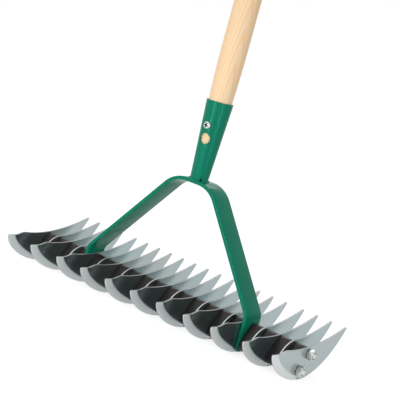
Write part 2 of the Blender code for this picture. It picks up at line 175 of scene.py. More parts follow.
def turned(profile, steps, axis=(0, 0, 1)):
    """Spin a profile of (radius, height) points about an axis, and close its poles."""
    bm = bmesh.new()
    points = [bm.verts.new((radius, 0, height)) for radius, height in profile]
    edges = [bm.edges.new(pair) for pair in zip(points, points[1:])]
    bmesh.ops.spin(bm, geom=points + edges, cent=(0, 0, 0), axis=(0, 0, 1), angle=math.tau, steps=steps,
                   use_merge=True)
    bmesh.ops.remove_doubles(bm, verts=bm.verts, dist=MERGE_DISTANCE)
    bmesh.ops.recalc_face_normals(bm, faces=bm.faces)
    bmesh.ops.rotate(bm, verts=bm.verts, cent=(0, 0, 0), matrix=z_turned_to(axis))
    return bm


def threaded_rod(half_length):
    """Half of the rod's profile, from its threaded end to its plain middle, and its mirror image."""
    root = ROD_RADIUS - THREAD_DEPTH
    half = [(0, half_length), (root, half_length)]
    for turn in range(THREAD_TURNS):
        crest = half_length - (turn + 0.5) * THREAD_PITCH
        half.append((ROD_RADIUS - THREAD_CREST_DROP, crest + THREAD_CREST_HALF_WIDTH))
        half.append((ROD_RADIUS - THREAD_CREST_DROP, crest - THREAD_CREST_HALF_WIDTH))
        half.append((root, crest - THREAD_PITCH / 2))
    half.append((ROD_RADIUS, half[-1][1] - THREAD_DEPTH))
    return half + [(radius, -height) for radius, height in reversed(half)]


rod_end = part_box("upper_tie_rod")[1].x
for name in ("upper_tie_rod", "lower_tie_rod"):
    bm = turned(threaded_rod(rod_end), ROD_SIDES, (1, 0, 0))
    bmesh.ops.translate(bm, verts=bm.verts, vec=(0, middle(name).y, middle(name).z))
    show(bm, "threaded_" + name, name, [FASTENER_ZINC])

# Long blades
# Eleven crescents stamped from 1.8 mm steel sheet and zinc-plated, bright enough to mirror their neighbours.
# Their convex front edge is then ground to a satin bevel on both faces, and both tie rods pass through them.
LONG_BLADES = 11
BLADE_THICKNESS = 0.0018
EDGE_THICKNESS = 0.0011
BLADE_HUMP = (0.0270, 0.0033)
BLADE_TIP = (0.1295, 0.0237)
BEVEL_START = (0.0108, 0.0)
BEVEL_END = (0.0633, -0.0289)
UPPER_ROD = (0.0674, -0.0026)
LOWER_ROD = (0.0554, -0.0193)
FRONT_CORNER_SETBACK = 0.0016
TIP_SETBACK = 0.0032
STAMPED_EDGE = 0.00012
BORDER_SOFTNESS = 0.16
ROD_CLEARANCE = 0.0003
THROUGH_BLADE = 0.04
SHARP_ANGLE = math.radians(50)
FACE_NORMAL = 0.99
PLATING_BATHS = 7
HEAD = Vector((0, middle("upper_tie_rod").y - UPPER_ROD[0], middle("upper_tie_rod").z - UPPER_ROD[1]))


def bezier(start, first, second, end, steps):
    """Points along a cubic Bezier curve, both ends included."""
    corners = (start, first, second, end)
    points = []
    for i in range(steps + 1):
        t = i / steps
        weights = ((1 - t) ** 3, 3 * (1 - t) ** 2 * t, 3 * (1 - t) * t ** 2, t ** 3)
        points.append(tuple(sum(w * c[a] for w, c in zip(weights, corners)) for a in (0, 1)))
    return points


TINE_TOP = bezier(BLADE_HUMP, (0.0520, 0.0014), (0.0880, 0.0054), BLADE_TIP, 36)
TINE_BOTTOM = bezier(BEVEL_END, (0.0880, -0.0264), (0.1150, -0.0056), BLADE_TIP, 28)
CUTTING_EDGE = bezier((0, 0), (0.0012, -0.0142), (0.0330, -0.0318), BEVEL_END, 24)
BEVEL_BORDER = bezier(BEVEL_START, (0.0158, -0.0103), (0.0378, -0.0206), BEVEL_END, 24)
CORNER_TO_HUMP = bezier(BEVEL_START, (0.0162, -0.0001), (0.0200, BLADE_HUMP[1]), BLADE_HUMP, 14)
SOFT_BORDER = [tuple(b + (e - b) * BORDER_SOFTNESS for b, e in zip(border, edge))
               for border, edge in zip(BEVEL_BORDER, CUTTING_EDGE)]


def near(vertex, point):
    """True where a blade's vertex lies at an outline point, whichever face it is on."""
    return math.hypot(vertex.co.y - point[0], vertex.co.z - point[1]) < MERGE_DISTANCE


def thickened(bm, thickness):
    """Give flat faces a thickness along X, centred on X = 0."""
    grown = bmesh.ops.extrude_face_region(bm, geom=bm.faces[:])
    moved = [item for item in grown["geom"] if isinstance(item, bmesh.types.BMVert)]
    bmesh.ops.translate(bm, verts=moved, vec=(thickness, 0, 0))
    bmesh.ops.translate(bm, verts=bm.verts, vec=(-thickness / 2, 0, 0))
    bmesh.ops.recalc_face_normals(bm, faces=bm.faces)


def rounded(bm, edges, width, segments, clamped=False):
    """Round some edges over."""
    bmesh.ops.bevel(bm, geom=edges, offset=width, segments=segments, profile=0.5, affect="EDGES", material=-1,
                    clamp_overlap=clamped)


def rounded_across(bm, point, setback, segments):
    """Round a blade's corner through its thickness, from a setback on either side of it."""
    corner = [edge for edge in bm.edges if all(near(vertex, point) for vertex in edge.verts)]
    rounded(bm, corner, setback, segments)


def eased_edges(bm, width):
    """Take the sharpness off every edge that turns by more than the sharp angle."""
    sharp = [edge for edge in bm.edges if edge.is_manifold and edge.calc_face_angle() > SHARP_ANGLE]
    rounded(bm, sharp, width, 2, clamped=True)


def drilled(bm, places, radius, axis, start, length, sides=ROD_SIDES):
    """Cut round holes through a bmesh, each from a start place along an axis, and return the new bmesh."""
    cutters = bmesh.new()
    for at in places:
        centre = Vector(at) + Vector(axis) * (start + length / 2)
        bmesh.ops.create_cone(cutters, cap_ends=True, segments=sides, radius1=radius, radius2=radius,
                              depth=length, matrix=Matrix.Translation(centre) @ z_turned_to(axis).to_4x4())
    return combined(bm, cutters, "DIFFERENCE")


def combined(bm, other, operation):
    """Apply a Boolean between two bmeshes and return the result."""
    solids = []
    for shape in (bm, other):
        mesh = bpy.data.meshes.new("Solid")
        shape.to_mesh(mesh)
        shape.free()
        solid = bpy.data.objects.new("Solid", mesh)
        bpy.context.scene.collection.objects.link(solid)
        solids.append(solid)
    boolean = solids[0].modifiers.new("Boolean", "BOOLEAN")
    boolean.operation = operation
    boolean.solver = "EXACT"
    boolean.object = solids[1]
    bpy.context.view_layer.update()
    result = bmesh.new()
    result.from_object(solids[0], bpy.context.evaluated_depsgraph_get())
    bmesh.ops.remove_doubles(result, verts=result.verts, dist=MERGE_DISTANCE)
    for solid in solids:
        mesh = solid.data
        bpy.data.objects.remove(solid)
        bpy.data.meshes.remove(mesh)
    return result


def mark_blade_faces(bm):
    """Record for the material how far a vertex is ground away, its place across the sheet, and cut edges."""
    ground = bm.verts.layers.float.new("ground")
    across_sheet = bm.verts.layers.float.new("across_sheet")
    stamped = bm.faces.layers.float.new("stamped")
    ground_depth = BORDER_SOFTNESS * (BLADE_THICKNESS - EDGE_THICKNESS) / 2
    for vertex in bm.verts:
        vertex[ground] = min(max((BLADE_THICKNESS / 2 - abs(vertex.co.x)) / ground_depth, 0.0), 1.0)
        vertex[across_sheet] = vertex.co.x / BLADE_THICKNESS
    for face in bm.faces:
        face[stamped] = 1.0 if abs(face.normal.x) < FACE_NORMAL else 0.0


def blade_steel():
    """Bright zinc on the faces and a satin grey on the ground bevel. A stamped edge is bright over part of
    the sheet's
    thickness, where the punch sheared it, and dull where it broke away. The sheared part carries painted
    light:
    a painted highlight where the edge faces forward and painted shade where it faces up or back."""
    made = finish("Zinc-plated blade", (0.358, 0.428, 0.434), (0.392, 0.455, 0.458), 0.225, 0.268,
                  metallic=1.0, bump=0.000006, stretch=(1, 0.35, 1), blotch=40.0, grain=1500.0)
    tree = made.node_tree
    shader = tree.nodes["Principled BSDF"]
    place = node(tree, "TexCoord").outputs["Object"]
    ground, stamped, tone, across_sheet = (node(tree, "Attribute", attribute_name=name).outputs["Fac"]
                                           for name in ("ground", "stamped", "tone", "across_sheet"))
    warmth = blended(tree, tone, (0.97, 1.01, 1.03, 1), (1.03, 0.99, 0.98, 1))
    plated = blended(tree, 1.0, shader.inputs["Base Color"].links[0].from_socket, warmth, "MULTIPLY")
    satin = blended(tree, noise(tree, place, 120.0, 3.0), (0.77, 0.82, 0.83, 1), (0.82, 0.855, 0.85, 1))
    with_bevel = blended(tree, ground, plated, satin)
    ragged = maths(tree, "MULTIPLY_ADD", noise(tree, place, 700.0, 2.0), 0.15, across_sheet)
    # Painted light on the sheared edge: bright where its normal points forward, painted shade where it points
    # up or back.
    facing = node(tree, "SeparateXYZ", {0: node(tree, "NewGeometry").outputs["Normal"]}).outputs["Y"]
    painted_light_share = ranged(tree, facing, -0.10, -0.60)
    sheared_with_painted_light = blended(tree, painted_light_share, (0.32, 0.34, 0.34, 1), (0.80, 0.81, 0.79, 1))
    cut = blended(tree, ranged(tree, ragged, 0.02, 0.12), (0.15, 0.16, 0.16, 1), sheared_with_painted_light)
    tree.links.new(blended(tree, stamped, with_bevel, cut), shader.inputs["Base Color"])
    either = maths(tree, "MAXIMUM", ground, stamped)
    rough = node(tree, "Mix", {0: either, 2: shader.inputs["Roughness"].links[0].from_socket, 3: 0.5})
    tree.links.new(rough.outputs[0], shader.inputs["Roughness"])
    tree.links.new(ranged(tree, either, 0.0, 1.0, 0.93, 0.35), shader.inputs["Metallic"])
    return made


def long_blade():
    """A flat crescent and its bevel strip, thickened, thinned along the cutting edge, rounded and drilled."""
    bm = bmesh.new()
    flat = CORNER_TO_HUMP + TINE_TOP[1:] + TINE_BOTTOM[-2::-1] + BEVEL_BORDER[-2:0:-1]
    points = {point: bm.verts.new((0, *point)) for point in flat}
    bm.faces.new([points[point] for point in flat])
    points.update({point: bm.verts.new((0, *point)) for point in SOFT_BORDER[:-1] + CUTTING_EDGE[:-1]})
    for outer, inner in ((CUTTING_EDGE, SOFT_BORDER), (SOFT_BORDER, BEVEL_BORDER)):
        for i in range(len(outer) - 1):
            ring = [outer[i], outer[i + 1], inner[i + 1], inner[i]]
            bm.faces.new([points[point] for point in dict.fromkeys(ring)])
    thickened(bm, BLADE_THICKNESS)
    thinned = 1 - EDGE_THICKNESS / BLADE_THICKNESS
    for vertex in bm.verts:
        for curve, share in ((CUTTING_EDGE, 1.0), (SOFT_BORDER, BORDER_SOFTNESS)):
            if any(near(vertex, point) for point in curve[:-1]):
                vertex.co.x *= 1 - thinned * share
    rounded_across(bm, (0, 0), FRONT_CORNER_SETBACK, 6)
    rounded_across(bm, BLADE_TIP, TIP_SETBACK, 8)
    eased_edges(bm, STAMPED_EDGE)
    return drilled_for_rods(bm)


def drilled_for_rods(bm):
    """Clearance holes for both tie rods, in the head's own coordinates."""
    places = [(0, *UPPER_ROD), (0, *LOWER_ROD)]
    return drilled(bm, places, ROD_RADIUS + ROD_CLEARANCE, (1, 0, 0), -THROUGH_BLADE / 2, THROUGH_BLADE)


BLADE_STEEL = blade_steel()


def fit_blades(shape, kind, count):
    """Set a copy of a blade at each of its nodes along the head, each as from another plating bath."""
    mark_blade_faces(shape)
    for i in range(1, count + 1):
        replaced = f"{kind}_blade_{i:02d}"
        bm = shape.copy()
        tone = bm.faces.layers.float.new("tone")
        for face in bm.faces:
            face[tone] = (i * 5 % PLATING_BATHS) / (PLATING_BATHS - 1)
        bmesh.ops.translate(bm, verts=bm.verts, vec=HEAD + Vector((middle(replaced).x, 0, 0)))
        show(bm, f"{kind}_blade_plate_{i:02d}", replaced, [BLADE_STEEL], sharp_degrees=1)
    shape.free()


fit_blades(long_blade(), "long", LONG_BLADES)

# Short blades
# Ten blades with the same tine, stamped from the same zinc-plated sheet, stand between the long ones.
# Their front is cut round just ahead of the spacers, and its stamped edge shows as a bright arc, partly a
# painted highlight where it faces forward.
SHORT_BLADES = 10
NOSE_START = 0.0715
NOSE_MIDDLE = (0.0440, -0.0080)
NOSE_END = (0.0590, -0.0289)


def short_blade():
    """The rear tine on a plate with a round nose."""
    start = next(i for i, point in enumerate(TINE_TOP) if point[0] > NOSE_START)
    nose_top = bezier(TINE_TOP[start], (0.0600, 0.0060), (0.0520, 0.0030), NOSE_MIDDLE, 20)
    nose_front = bezier(NOSE_MIDDLE, (0.0395, -0.0145), (0.0385, -0.0290), NOSE_END, 24)
    outline = TINE_TOP[start:] + TINE_BOTTOM[-2::-1] + nose_front[::-1] + nose_top[-2:0:-1]
    bm = bmesh.new()
    bm.faces.new([bm.verts.new((0, *point)) for point in outline])
    thickened(bm, BLADE_THICKNESS)
    rounded_across(bm, BLADE_TIP, TIP_SETBACK, 8)
    eased_edges(bm, STAMPED_EDGE)
    return drilled_for_rods(bm)


fit_blades(short_blade(), "short", SHORT_BLADES)

# Spacers
# Twenty blocks moulded in brown-black plastic keep the blades apart on the tie rods.
# Each has a round end about either rod and flat sides between them, and is clamped between its neighbours.
SPACERS = 20
SPACER_RADIUS = 0.0062
SPACER_EDGE = 0.0003
SPACER_END_STEPS = 24


def spacer(length):
    """A block with two round ends, its rims eased, drilled for both rods."""
    lean = math.atan2(UPPER_ROD[1] - LOWER_ROD[1], UPPER_ROD[0] - LOWER_ROD[0])
    outline = []
    for centre, facing in ((UPPER_ROD, lean), (LOWER_ROD, lean + math.pi)):
        for i in range(SPACER_END_STEPS + 1):
            angle = facing - math.pi / 2 + math.pi * i / SPACER_END_STEPS
            outline.append((centre[0] + SPACER_RADIUS * math.cos(angle),
                            centre[1] + SPACER_RADIUS * math.sin(angle)))
    bm = bmesh.new()
    bm.faces.new([bm.verts.new((0, *point)) for point in outline])
    thickened(bm, length)
    eased_edges(bm, SPACER_EDGE)
    return drilled_for_rods(bm)


BLACK_PLASTIC = finish("Black moulded plastic", (0.0120, 0.0095, 0.0082), (0.0180, 0.0145, 0.0125),
                       0.38, 0.52, metallic=0.0, bump=0.00002, blotch=70.0, grain=1800.0)
BLACK_PLASTIC.node_tree.nodes["Principled BSDF"].inputs["Specular IOR Level"].default_value = 0.32
low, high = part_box("spacer_01")
block = spacer(high.x - low.x)
for i in range(1, SPACERS + 1):
    replaced = f"spacer_{i:02d}"
    bm = block.copy()
    bmesh.ops.translate(bm, verts=bm.verts, vec=HEAD + Vector((middle(replaced).x, 0, 0)))
    show(bm, f"spacer_block_{i:02d}", replaced, [BLACK_PLASTIC])
block.free()

# Yoke
# One flat steel bar, 27.6 by 4 mm, bent four times and painted glossy green: a crown, two sloping arms
# and two upright foot plates. The tie rods clamp each foot plate between a blade and a spacer.
BAR_WIDTH = 0.0276
BAR_THICKNESS = 0.0040
BAR_EDGE_RADIUS = 0.0008
SCORE_TOLERANCE = 1e-7
THROUGH_YOKE = 0.4
CROWN_CORNER_X = 0.0249
CROWN_BEND_RADIUS = 0.0340
ARM_DROP = 0.1107
FOOT_BEND_RADIUS = 0.0150
FOOT_LENGTH = 0.0397
FOOT_CORNER_RADIUS = 0.0040
ARM_LEAN = 0.0034
FOOT_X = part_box("yoke")[1].x
CROWN = Vector((0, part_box("yoke")[1].y - BAR_WIDTH / 2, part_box("yoke")[1].z))


def bar_path():
    """Outer face of half the yoke, from its middle to a foot, as (length so far, place, outward normal)."""
    slope = math.atan2(ARM_DROP, FOOT_X - CROWN_CORNER_X)
    flat, along_arm, upright = math.pi / 2, math.pi / 2 - slope, 0.0
    places = [(Vector((0, 0)), flat)]
    bends = ((Vector((CROWN_CORNER_X, 0)), CROWN_BEND_RADIUS, flat, along_arm, 32),
             (Vector((FOOT_X, -ARM_DROP)), FOOT_BEND_RADIUS, along_arm, upright, 16))
    for corner, radius, first, last, steps in bends:
        halfway = (first + last) / 2
        inwards = Vector((math.cos(halfway), math.sin(halfway)))
        centre = corner - inwards * radius / math.cos((first - last) / 2)
        for i in range(steps + 1):
            angle = first + (last - first) * i / steps
            places.append((centre + Vector((math.cos(angle), math.sin(angle))) * radius, angle))
    places.append((Vector((FOOT_X, -ARM_DROP - FOOT_LENGTH)), upright))
    path = []
    length = 0.0
    for i, (here, angle) in enumerate(places):
        length += (here - places[max(i - 1, 0)][0]).length
        path.append((length, here, Vector((math.cos(angle), math.sin(angle)))))
    return path


def flat_bar(reach):
    """The bar before bending: rounded corners at both ends and eased edges all round."""
    bm = bmesh.new()
    bmesh.ops.create_cube(bm, size=1, matrix=Matrix.Diagonal((2 * reach, BAR_WIDTH, BAR_THICKNESS, 1)))
    upright = [edge for edge in bm.edges if abs(edge.verts[0].co.z - edge.verts[1].co.z) > BAR_THICKNESS / 2]
    rounded(bm, upright, FOOT_CORNER_RADIUS, 10)
    rims = [edge for edge in bm.edges if abs(edge.verts[0].co.z - edge.verts[1].co.z) < BAR_THICKNESS / 2]
    rounded(bm, rims, BAR_EDGE_RADIUS, 4)
    return bm


def bent_bar():
    """Score the bar at every station of its path, then bend it there."""
    path = bar_path()
    bm = flat_bar(path[-1][0])
    for length, _, _ in path[:-1]:
        for side in {length, -length}:
            everything = bm.verts[:] + bm.edges[:] + bm.faces[:]
            bmesh.ops.bisect_plane(bm, geom=everything, plane_co=(side, 0, 0), plane_no=(1, 0, 0),
                                   dist=SCORE_TOLERANCE)
    for vertex in bm.verts:
        along = abs(vertex.co.x)
        after = next(i for i in range(1, len(path)) if along <= path[i][0] + MERGE_DISTANCE)
        (start, here, normal), (end, there, next_normal) = path[after - 1], path[after]
        share = min(max((along - start) / (end - start), 0.0), 1.0)
        outward = normal.lerp(next_normal, share).normalized()
        bent = here.lerp(there, share) - outward * (BAR_THICKNESS / 2 - vertex.co.z)
        forward_by = ARM_LEAN * min(max(-bent.y / ARM_DROP, 0.0), 1.0)
        vertex.co = (math.copysign(bent.x, vertex.co.x), vertex.co.y - forward_by, bent.y)
    bmesh.ops.translate(bm, verts=bm.verts, vec=CROWN)
    places = [(0, middle(name).y, middle(name).z) for name in ("upper_tie_rod", "lower_tie_rod")]
    return drilled(bm, places, ROD_RADIUS + ROD_CLEARANCE, (1, 0, 0), -THROUGH_YOKE / 2, THROUGH_YOKE)


GREEN_PAINT = finish("Glossy green paint", (0.0060, 0.200, 0.119), (0.0076, 0.218, 0.131), 0.12, 0.20,
                     metallic=0.0, bump=0.00003, blotch=14.0, grain=420.0)
GREEN_PAINT.node_tree.nodes["Principled BSDF"].inputs["Specular IOR Level"].default_value = 0.08
GREEN_PAINT.node_tree.nodes["Principled BSDF"].inputs["Specular Tint"].default_value = (0.48, 1.0, 0.78, 1)
show(bent_bar(), "green_yoke", "yoke", [GREEN_PAINT])

# Nuts
# Four zinc-plated M6 self-locking nuts, 10 mm across flats, clamp the stack on the ends of the tie rods.
# A round collar stands on each hexagon and is rolled over a nylon ring that grips the thread.
NUT_ACROSS_FLATS = 0.010
NUT_HEIGHT = 0.0060
NUT_COLLAR_HEIGHT = 0.0016
NUT_CHAMFER_INSET = 0.0001
NUT_CHAMFER_ANGLE = math.radians(30)
NUT_SIDES = 60
NUT_CHAMFER_SIDES = 72
NUT_CHAMFER_MARGIN = 0.0002
NUT_CLEARANCE = 0.0001
THROUGH_NUT = (-0.01, 0.03)
COLLAR_SHARE = 0.95
COLLAR_ROLL_RADIUS = 0.0009
COLLAR_OVERLAP = 0.0010
COLLAR_STEP = 0.0002
NYLON_RADIUS = 0.0038
NYLON_THICKNESS = 0.0004
NYLON_DEPTH = 0.0004
NYLON_FIT = 0.00005
NYLON_FLARE = 0.0003


def hexagon(turn):
    """A hexagonal prism along Z, turned to where the wrench left it, its corners chamfered at both ends."""
    corner = NUT_ACROSS_FLATS / math.cos(math.pi / 6) / 2
    height = NUT_HEIGHT - NUT_COLLAR_HEIGHT
    place = Matrix.Translation((0, 0, height / 2)) @ Matrix.Rotation(math.radians(turn), 4, "Z")
    prism = bmesh.new()
    bmesh.ops.create_cone(prism, cap_ends=True, segments=6, radius1=corner, radius2=corner, depth=height,
                          matrix=place)
    start = NUT_ACROSS_FLATS / 2 - NUT_CHAMFER_INSET
    reach = corner + NUT_CHAMFER_MARGIN
    drop = (reach - start) * math.tan(NUT_CHAMFER_ANGLE)
    chamfer = [(0, 0), (start, 0), (reach, drop), (reach, height - drop), (start, height), (0, height)]
    return combined(prism, turned(chamfer, NUT_CHAMFER_SIDES), "INTERSECT")


def quarter_turn(steps):
    """Angles from nothing to a right angle, in equal steps."""
    return [math.pi / 2 * i / steps for i in range(steps + 1)]


def collar():
    """The round collar above the hexagon, rolled inwards at its rim, around a bore that holds the ring."""
    foot = NUT_ACROSS_FLATS / 2 * COLLAR_SHARE
    base = NUT_HEIGHT - NUT_COLLAR_HEIGHT
    roll = COLLAR_ROLL_RADIUS
    rolled = [(foot - roll + roll * math.cos(a), NUT_HEIGHT - roll + roll * math.sin(a))
              for a in quarter_turn(6)]
    under = base - COLLAR_OVERLAP
    outside = [(0, under), (foot - COLLAR_STEP, under), (foot, base)] + rolled
    inside = [(NYLON_RADIUS, NUT_HEIGHT), (NYLON_RADIUS, NUT_HEIGHT - roll), (0, NUT_HEIGHT - roll)]
    return turned(outside + inside, NUT_SIDES)


def nut_body(turn):
    """Hexagon and collar in one, with the rod's bore through both."""
    whole = combined(hexagon(turn), collar(), "UNION")
    return drilled(whole, [(0, 0, 0)], ROD_RADIUS + NUT_CLEARANCE, (0, 0, 1), *THROUGH_NUT)


def nylon_ring():
    """The ring that sits in the collar and closes on the thread."""
    top = NUT_HEIGHT - NYLON_DEPTH
    foot = top - NYLON_THICKNESS
    outside, bore = NYLON_RADIUS - NYLON_FIT, ROD_RADIUS + NYLON_FIT
    flare = [(ROD_RADIUS + NYLON_FLARE, top), (bore, top - NYLON_THICKNESS / 2)]
    section = [(outside, foot), (outside, top), *flare, (bore, foot), (outside, foot)]
    return turned(section, NUT_SIDES)


# The ring's dark brown is painted shade: the nylon is paler, and the dark stands for the shadow inside the
# collar.
NYLON_IN_PAINTED_SHADE = finish("Nylon ring in painted shade", (0.110, 0.095, 0.078), (0.150, 0.130, 0.105), 0.40, 0.50,
               metallic=0.0, bump=0.00001)
for end_name, side, turns in (("left", -1, (11, 42)), ("right", 1, (19, 7))):
    for rod_name, turn_degrees in zip(("upper", "lower"), turns):
        replaced = f"{end_name}_{rod_name}_nut"
        low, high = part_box(replaced)
        seat = (high.x if side < 0 else low.x, middle(replaced).y, middle(replaced).z)
        parts = ((nut_body(turn_degrees), "body", FASTENER_ZINC), (nylon_ring(), "ring", NYLON_IN_PAINTED_SHADE))
        for bm, label, coat in parts:
            bmesh.ops.rotate(bm, verts=bm.verts, cent=(0, 0, 0), matrix=z_turned_to((side, 0, 0)))
            bmesh.ops.translate(bm, verts=bm.verts, vec=seat)
            show(bm, f"{replaced}_{label}", replaced, [coat], sharp_degrees=25)

# Socket
# Steel sheet, 1.6 mm thick, rolled into a cone. Its two edges meet in an open seam that leans a little and
# widens to a notch at its foot. It is painted with the yoke, and two holes pierce its front.
SOCKET_HEIGHT = 0.0857
SOCKET_FOOT_RADIUS = 0.0099
SOCKET_RIM_RADIUS = 0.0146
SOCKET_WALL = 0.0016
SOCKET_GAP = 0.0003
SOCKET_EASING = 0.0003
ROLLED_TURN = math.tau * 0.99
ROLLED_STEPS = 88
SOCKET_STEPS = 40
ANGLE_MARGIN = 0.01
SEAM_GAP = 0.00002
SEAM_EDGE_RADIUS = 0.00058
SEAM_NOTCH_GAP = 0.0024
SEAM_NOTCH_HEIGHT = 0.0042
SEAM_FOOT_ANGLE = math.radians(-43)
SEAM_RIM_ANGLE = math.radians(-57)
SEAM_NOTCH_CURVE = 0.6
PEEP_HOLE_RADIUS = 0.0058
PEEP_HOLE_HEIGHT = 0.0451
PEEP_HOLE_ANGLE = math.radians(-83)
SCREW_HOLE_RADIUS = 0.0022
SCREW_HEIGHT = 0.0594
SCREW_ANGLE = math.radians(-84)
THROUGH_WALL = (0.002, 0.03)
CROWN_TOP = Vector((0, middle("handle").y, CROWN.z))


def socket_radius(height):
    """Outer radius of the cone at a height above the crown."""
    return SOCKET_FOOT_RADIUS + (SOCKET_RIM_RADIUS - SOCKET_FOOT_RADIUS) * height / SOCKET_HEIGHT


def seam_angle(height):
    """Where the seam lies at a height above the crown."""
    return SEAM_FOOT_ANGLE + (SEAM_RIM_ANGLE - SEAM_FOOT_ANGLE) * height / SOCKET_HEIGHT


def angle_round(vertex):
    """A vertex's angle about the socket's axis, from the start of the spin with a small margin."""
    return (math.atan2(vertex.co.y, vertex.co.x) + ANGLE_MARGIN) % math.tau


def outside_sheet(vertex):
    """True for a vertex on the rolled sheet's outer face."""
    return math.hypot(vertex.co.x, vertex.co.y) > socket_radius(vertex.co.z) - SOCKET_WALL / 2


def rolled_cone():
    """Spin the wall's section almost full circle, round off its two edges and close them along the seam."""
    heights = [SOCKET_GAP + (SOCKET_HEIGHT - SOCKET_GAP) * i / SOCKET_STEPS for i in range(SOCKET_STEPS + 1)]
    bm = bmesh.new()
    outer = [bm.verts.new((socket_radius(z), 0, z)) for z in heights]
    inner = [bm.verts.new((socket_radius(z) - SOCKET_WALL, 0, z)) for z in heights]
    for i in range(len(heights) - 1):
        bm.faces.new([outer[i], outer[i + 1], inner[i + 1], inner[i]])
    bmesh.ops.spin(bm, geom=bm.verts[:] + bm.edges[:] + bm.faces[:], cent=(0, 0, 0), axis=(0, 0, 1),
                   angle=ROLLED_TURN, steps=ROLLED_STEPS)
    bmesh.ops.recalc_face_normals(bm, faces=bm.faces)
    lips = [edge for edge in bm.edges if edge.is_manifold and edge.calc_face_angle() > SHARP_ANGLE
            and all(outside_sheet(vertex) for vertex in edge.verts)
            and abs(edge.verts[0].co.z - edge.verts[1].co.z) > SOCKET_GAP]
    rounded(bm, lips, SEAM_EDGE_RADIUS, 5)
    for vertex in bm.verts:
        height = vertex.co.z
        angle = angle_round(vertex) - ANGLE_MARGIN
        opening = max(0.0, 1.0 - height / SEAM_NOTCH_HEIGHT) ** SEAM_NOTCH_CURVE
        gap = (SEAM_GAP + (SEAM_NOTCH_GAP - SEAM_GAP) * opening) / socket_radius(height)
        turned_to = seam_angle(height) + gap / 2 + angle / ROLLED_TURN * (math.tau - gap)
        radius = math.hypot(vertex.co.x, vertex.co.y)
        vertex.co = (radius * math.cos(turned_to), radius * math.sin(turned_to), height)
    bmesh.ops.recalc_face_normals(bm, faces=bm.faces)
    return bm


def across(angle):
    """The level direction outwards from the socket's axis at an angle."""
    return Vector((math.cos(angle), math.sin(angle), 0))


cone = rolled_cone()
for hole_height, hole_radius, hole_angle, hole_sides in (
        (PEEP_HOLE_HEIGHT, PEEP_HOLE_RADIUS, PEEP_HOLE_ANGLE, 64),
        (SCREW_HEIGHT, SCREW_HOLE_RADIUS, SCREW_ANGLE, 40)):
    cone = drilled(cone, [(0, 0, hole_height)], hole_radius, across(hole_angle), *THROUGH_WALL, hole_sides)
bmesh.ops.translate(cone, verts=cone.verts, vec=CROWN_TOP)
socket = show(cone, "green_socket", "socket", [GREEN_PAINT])
worn = socket.modifiers.new("Eased rims", "BEVEL")
worn.width = SOCKET_EASING
worn.segments = 2
worn.limit_method = "ANGLE"
worn.angle_limit = SHARP_ANGLE

# Weld bead
# A fillet weld round the socket's foot joins it to the crown, and stops at the notch under the seam.
# It was laid by hand in small steps and painted over, so its ripples still show.
WELD_LEG = 0.0014
WELD_GAP = 0.00005
WELD_FULLNESS = 1.4
WELD_OPEN_HALF_ANGLE = math.radians(9)
WELD_RIPPLES = 30
WELD_STEPS_PER_RIPPLE = 8
WELD_SWELL = 0.10
WELD_UNSTEADY = (17, 5)
WELD_END_SHARE = 0.25
WELD_FADE_RIPPLES = 1.5
WELD_SAG = 0.6


def weld_bead():
    """Spin a fillet's bulging section round the socket's foot, then swell each ripple and fade both ends."""
    front_flat = CROWN.y - BAR_WIDTH / 2 + BAR_EDGE_RADIUS - CROWN_TOP.y
    start, sweep = SEAM_FOOT_ANGLE + WELD_OPEN_HALF_ANGLE, math.tau - 2 * WELD_OPEN_HALF_ANGLE
    root = SOCKET_FOOT_RADIUS + WELD_GAP
    bulge = [(WELD_LEG * math.cos(a) ** WELD_FULLNESS, WELD_LEG * math.sin(a) ** WELD_FULLNESS)
             for a in quarter_turn(8)]
    bm = bmesh.new()
    section = bm.faces.new([bm.verts.new((root + out, 0, rise + WELD_GAP)) for out, rise in [(0, 0)] + bulge])
    bmesh.ops.spin(bm, geom=section.verts[:] + section.edges[:] + [section], cent=(0, 0, 0), axis=(0, 0, 1),
                   angle=sweep, steps=WELD_RIPPLES * WELD_STEPS_PER_RIPPLE)
    for vertex in bm.verts:
        share = angle_round(vertex) / sweep
        angle = start + share * sweep
        from_end = max(min(share, 1 - share), 0.0) * WELD_RIPPLES
        size = math.sin(math.pi / 2 * min(1.0, WELD_END_SHARE + from_end / WELD_FADE_RIPPLES))
        ripple = math.sin(math.tau * WELD_RIPPLES * share)
        unsteady = math.sin(WELD_UNSTEADY[0] * angle) * math.sin(WELD_UNSTEADY[1] * angle)
        size *= 1 + WELD_SWELL * ripple + WELD_SWELL * unsteady
        rise = vertex.co.z * size
        radius = socket_radius(rise) + (math.hypot(vertex.co.x, vertex.co.y) - SOCKET_FOOT_RADIUS) * size
        x, y = radius * math.cos(angle), radius * math.sin(angle)
        over = min(max(front_flat - y, 0.0), BAR_EDGE_RADIUS)
        rise -= WELD_SAG * (BAR_EDGE_RADIUS - math.sqrt(BAR_EDGE_RADIUS ** 2 - over ** 2))
        vertex.co = (x, y, rise)
    bmesh.ops.recalc_face_normals(bm, faces=bm.faces)
    bmesh.ops.translate(bm, verts=bm.verts, vec=CROWN_TOP)
    return bm


show(weld_bead(), "painted_weld", "weld_bead", [GREEN_PAINT], sharp_degrees=60)

# Handle
# One pole of pale pine, turned to 28 mm, sanded and left bare. Its lower end is tapered to fit the socket,
# and its top is rounded over.
HANDLE_RADIUS = 0.0140
HANDLE_END = 0.0140
HANDLE_TAPER_LENGTH = 0.0600
HANDLE_DOME_HEIGHT = 0.0090
HANDLE_FOOT_CHAMFER = 0.0015
HANDLE_SIDES = 96
RINGS_PER_METRE = 435.0
PITH_TURN = math.radians(28)
PITH_DISTANCE = 0.033
PITH_LEAN = 0.0112
PITH_LEAN_RATE = 6.5
PITH_LEAN_START = 0.30
PITH_WANDER = 0.004
ARCH_SHARPNESS = 0.3


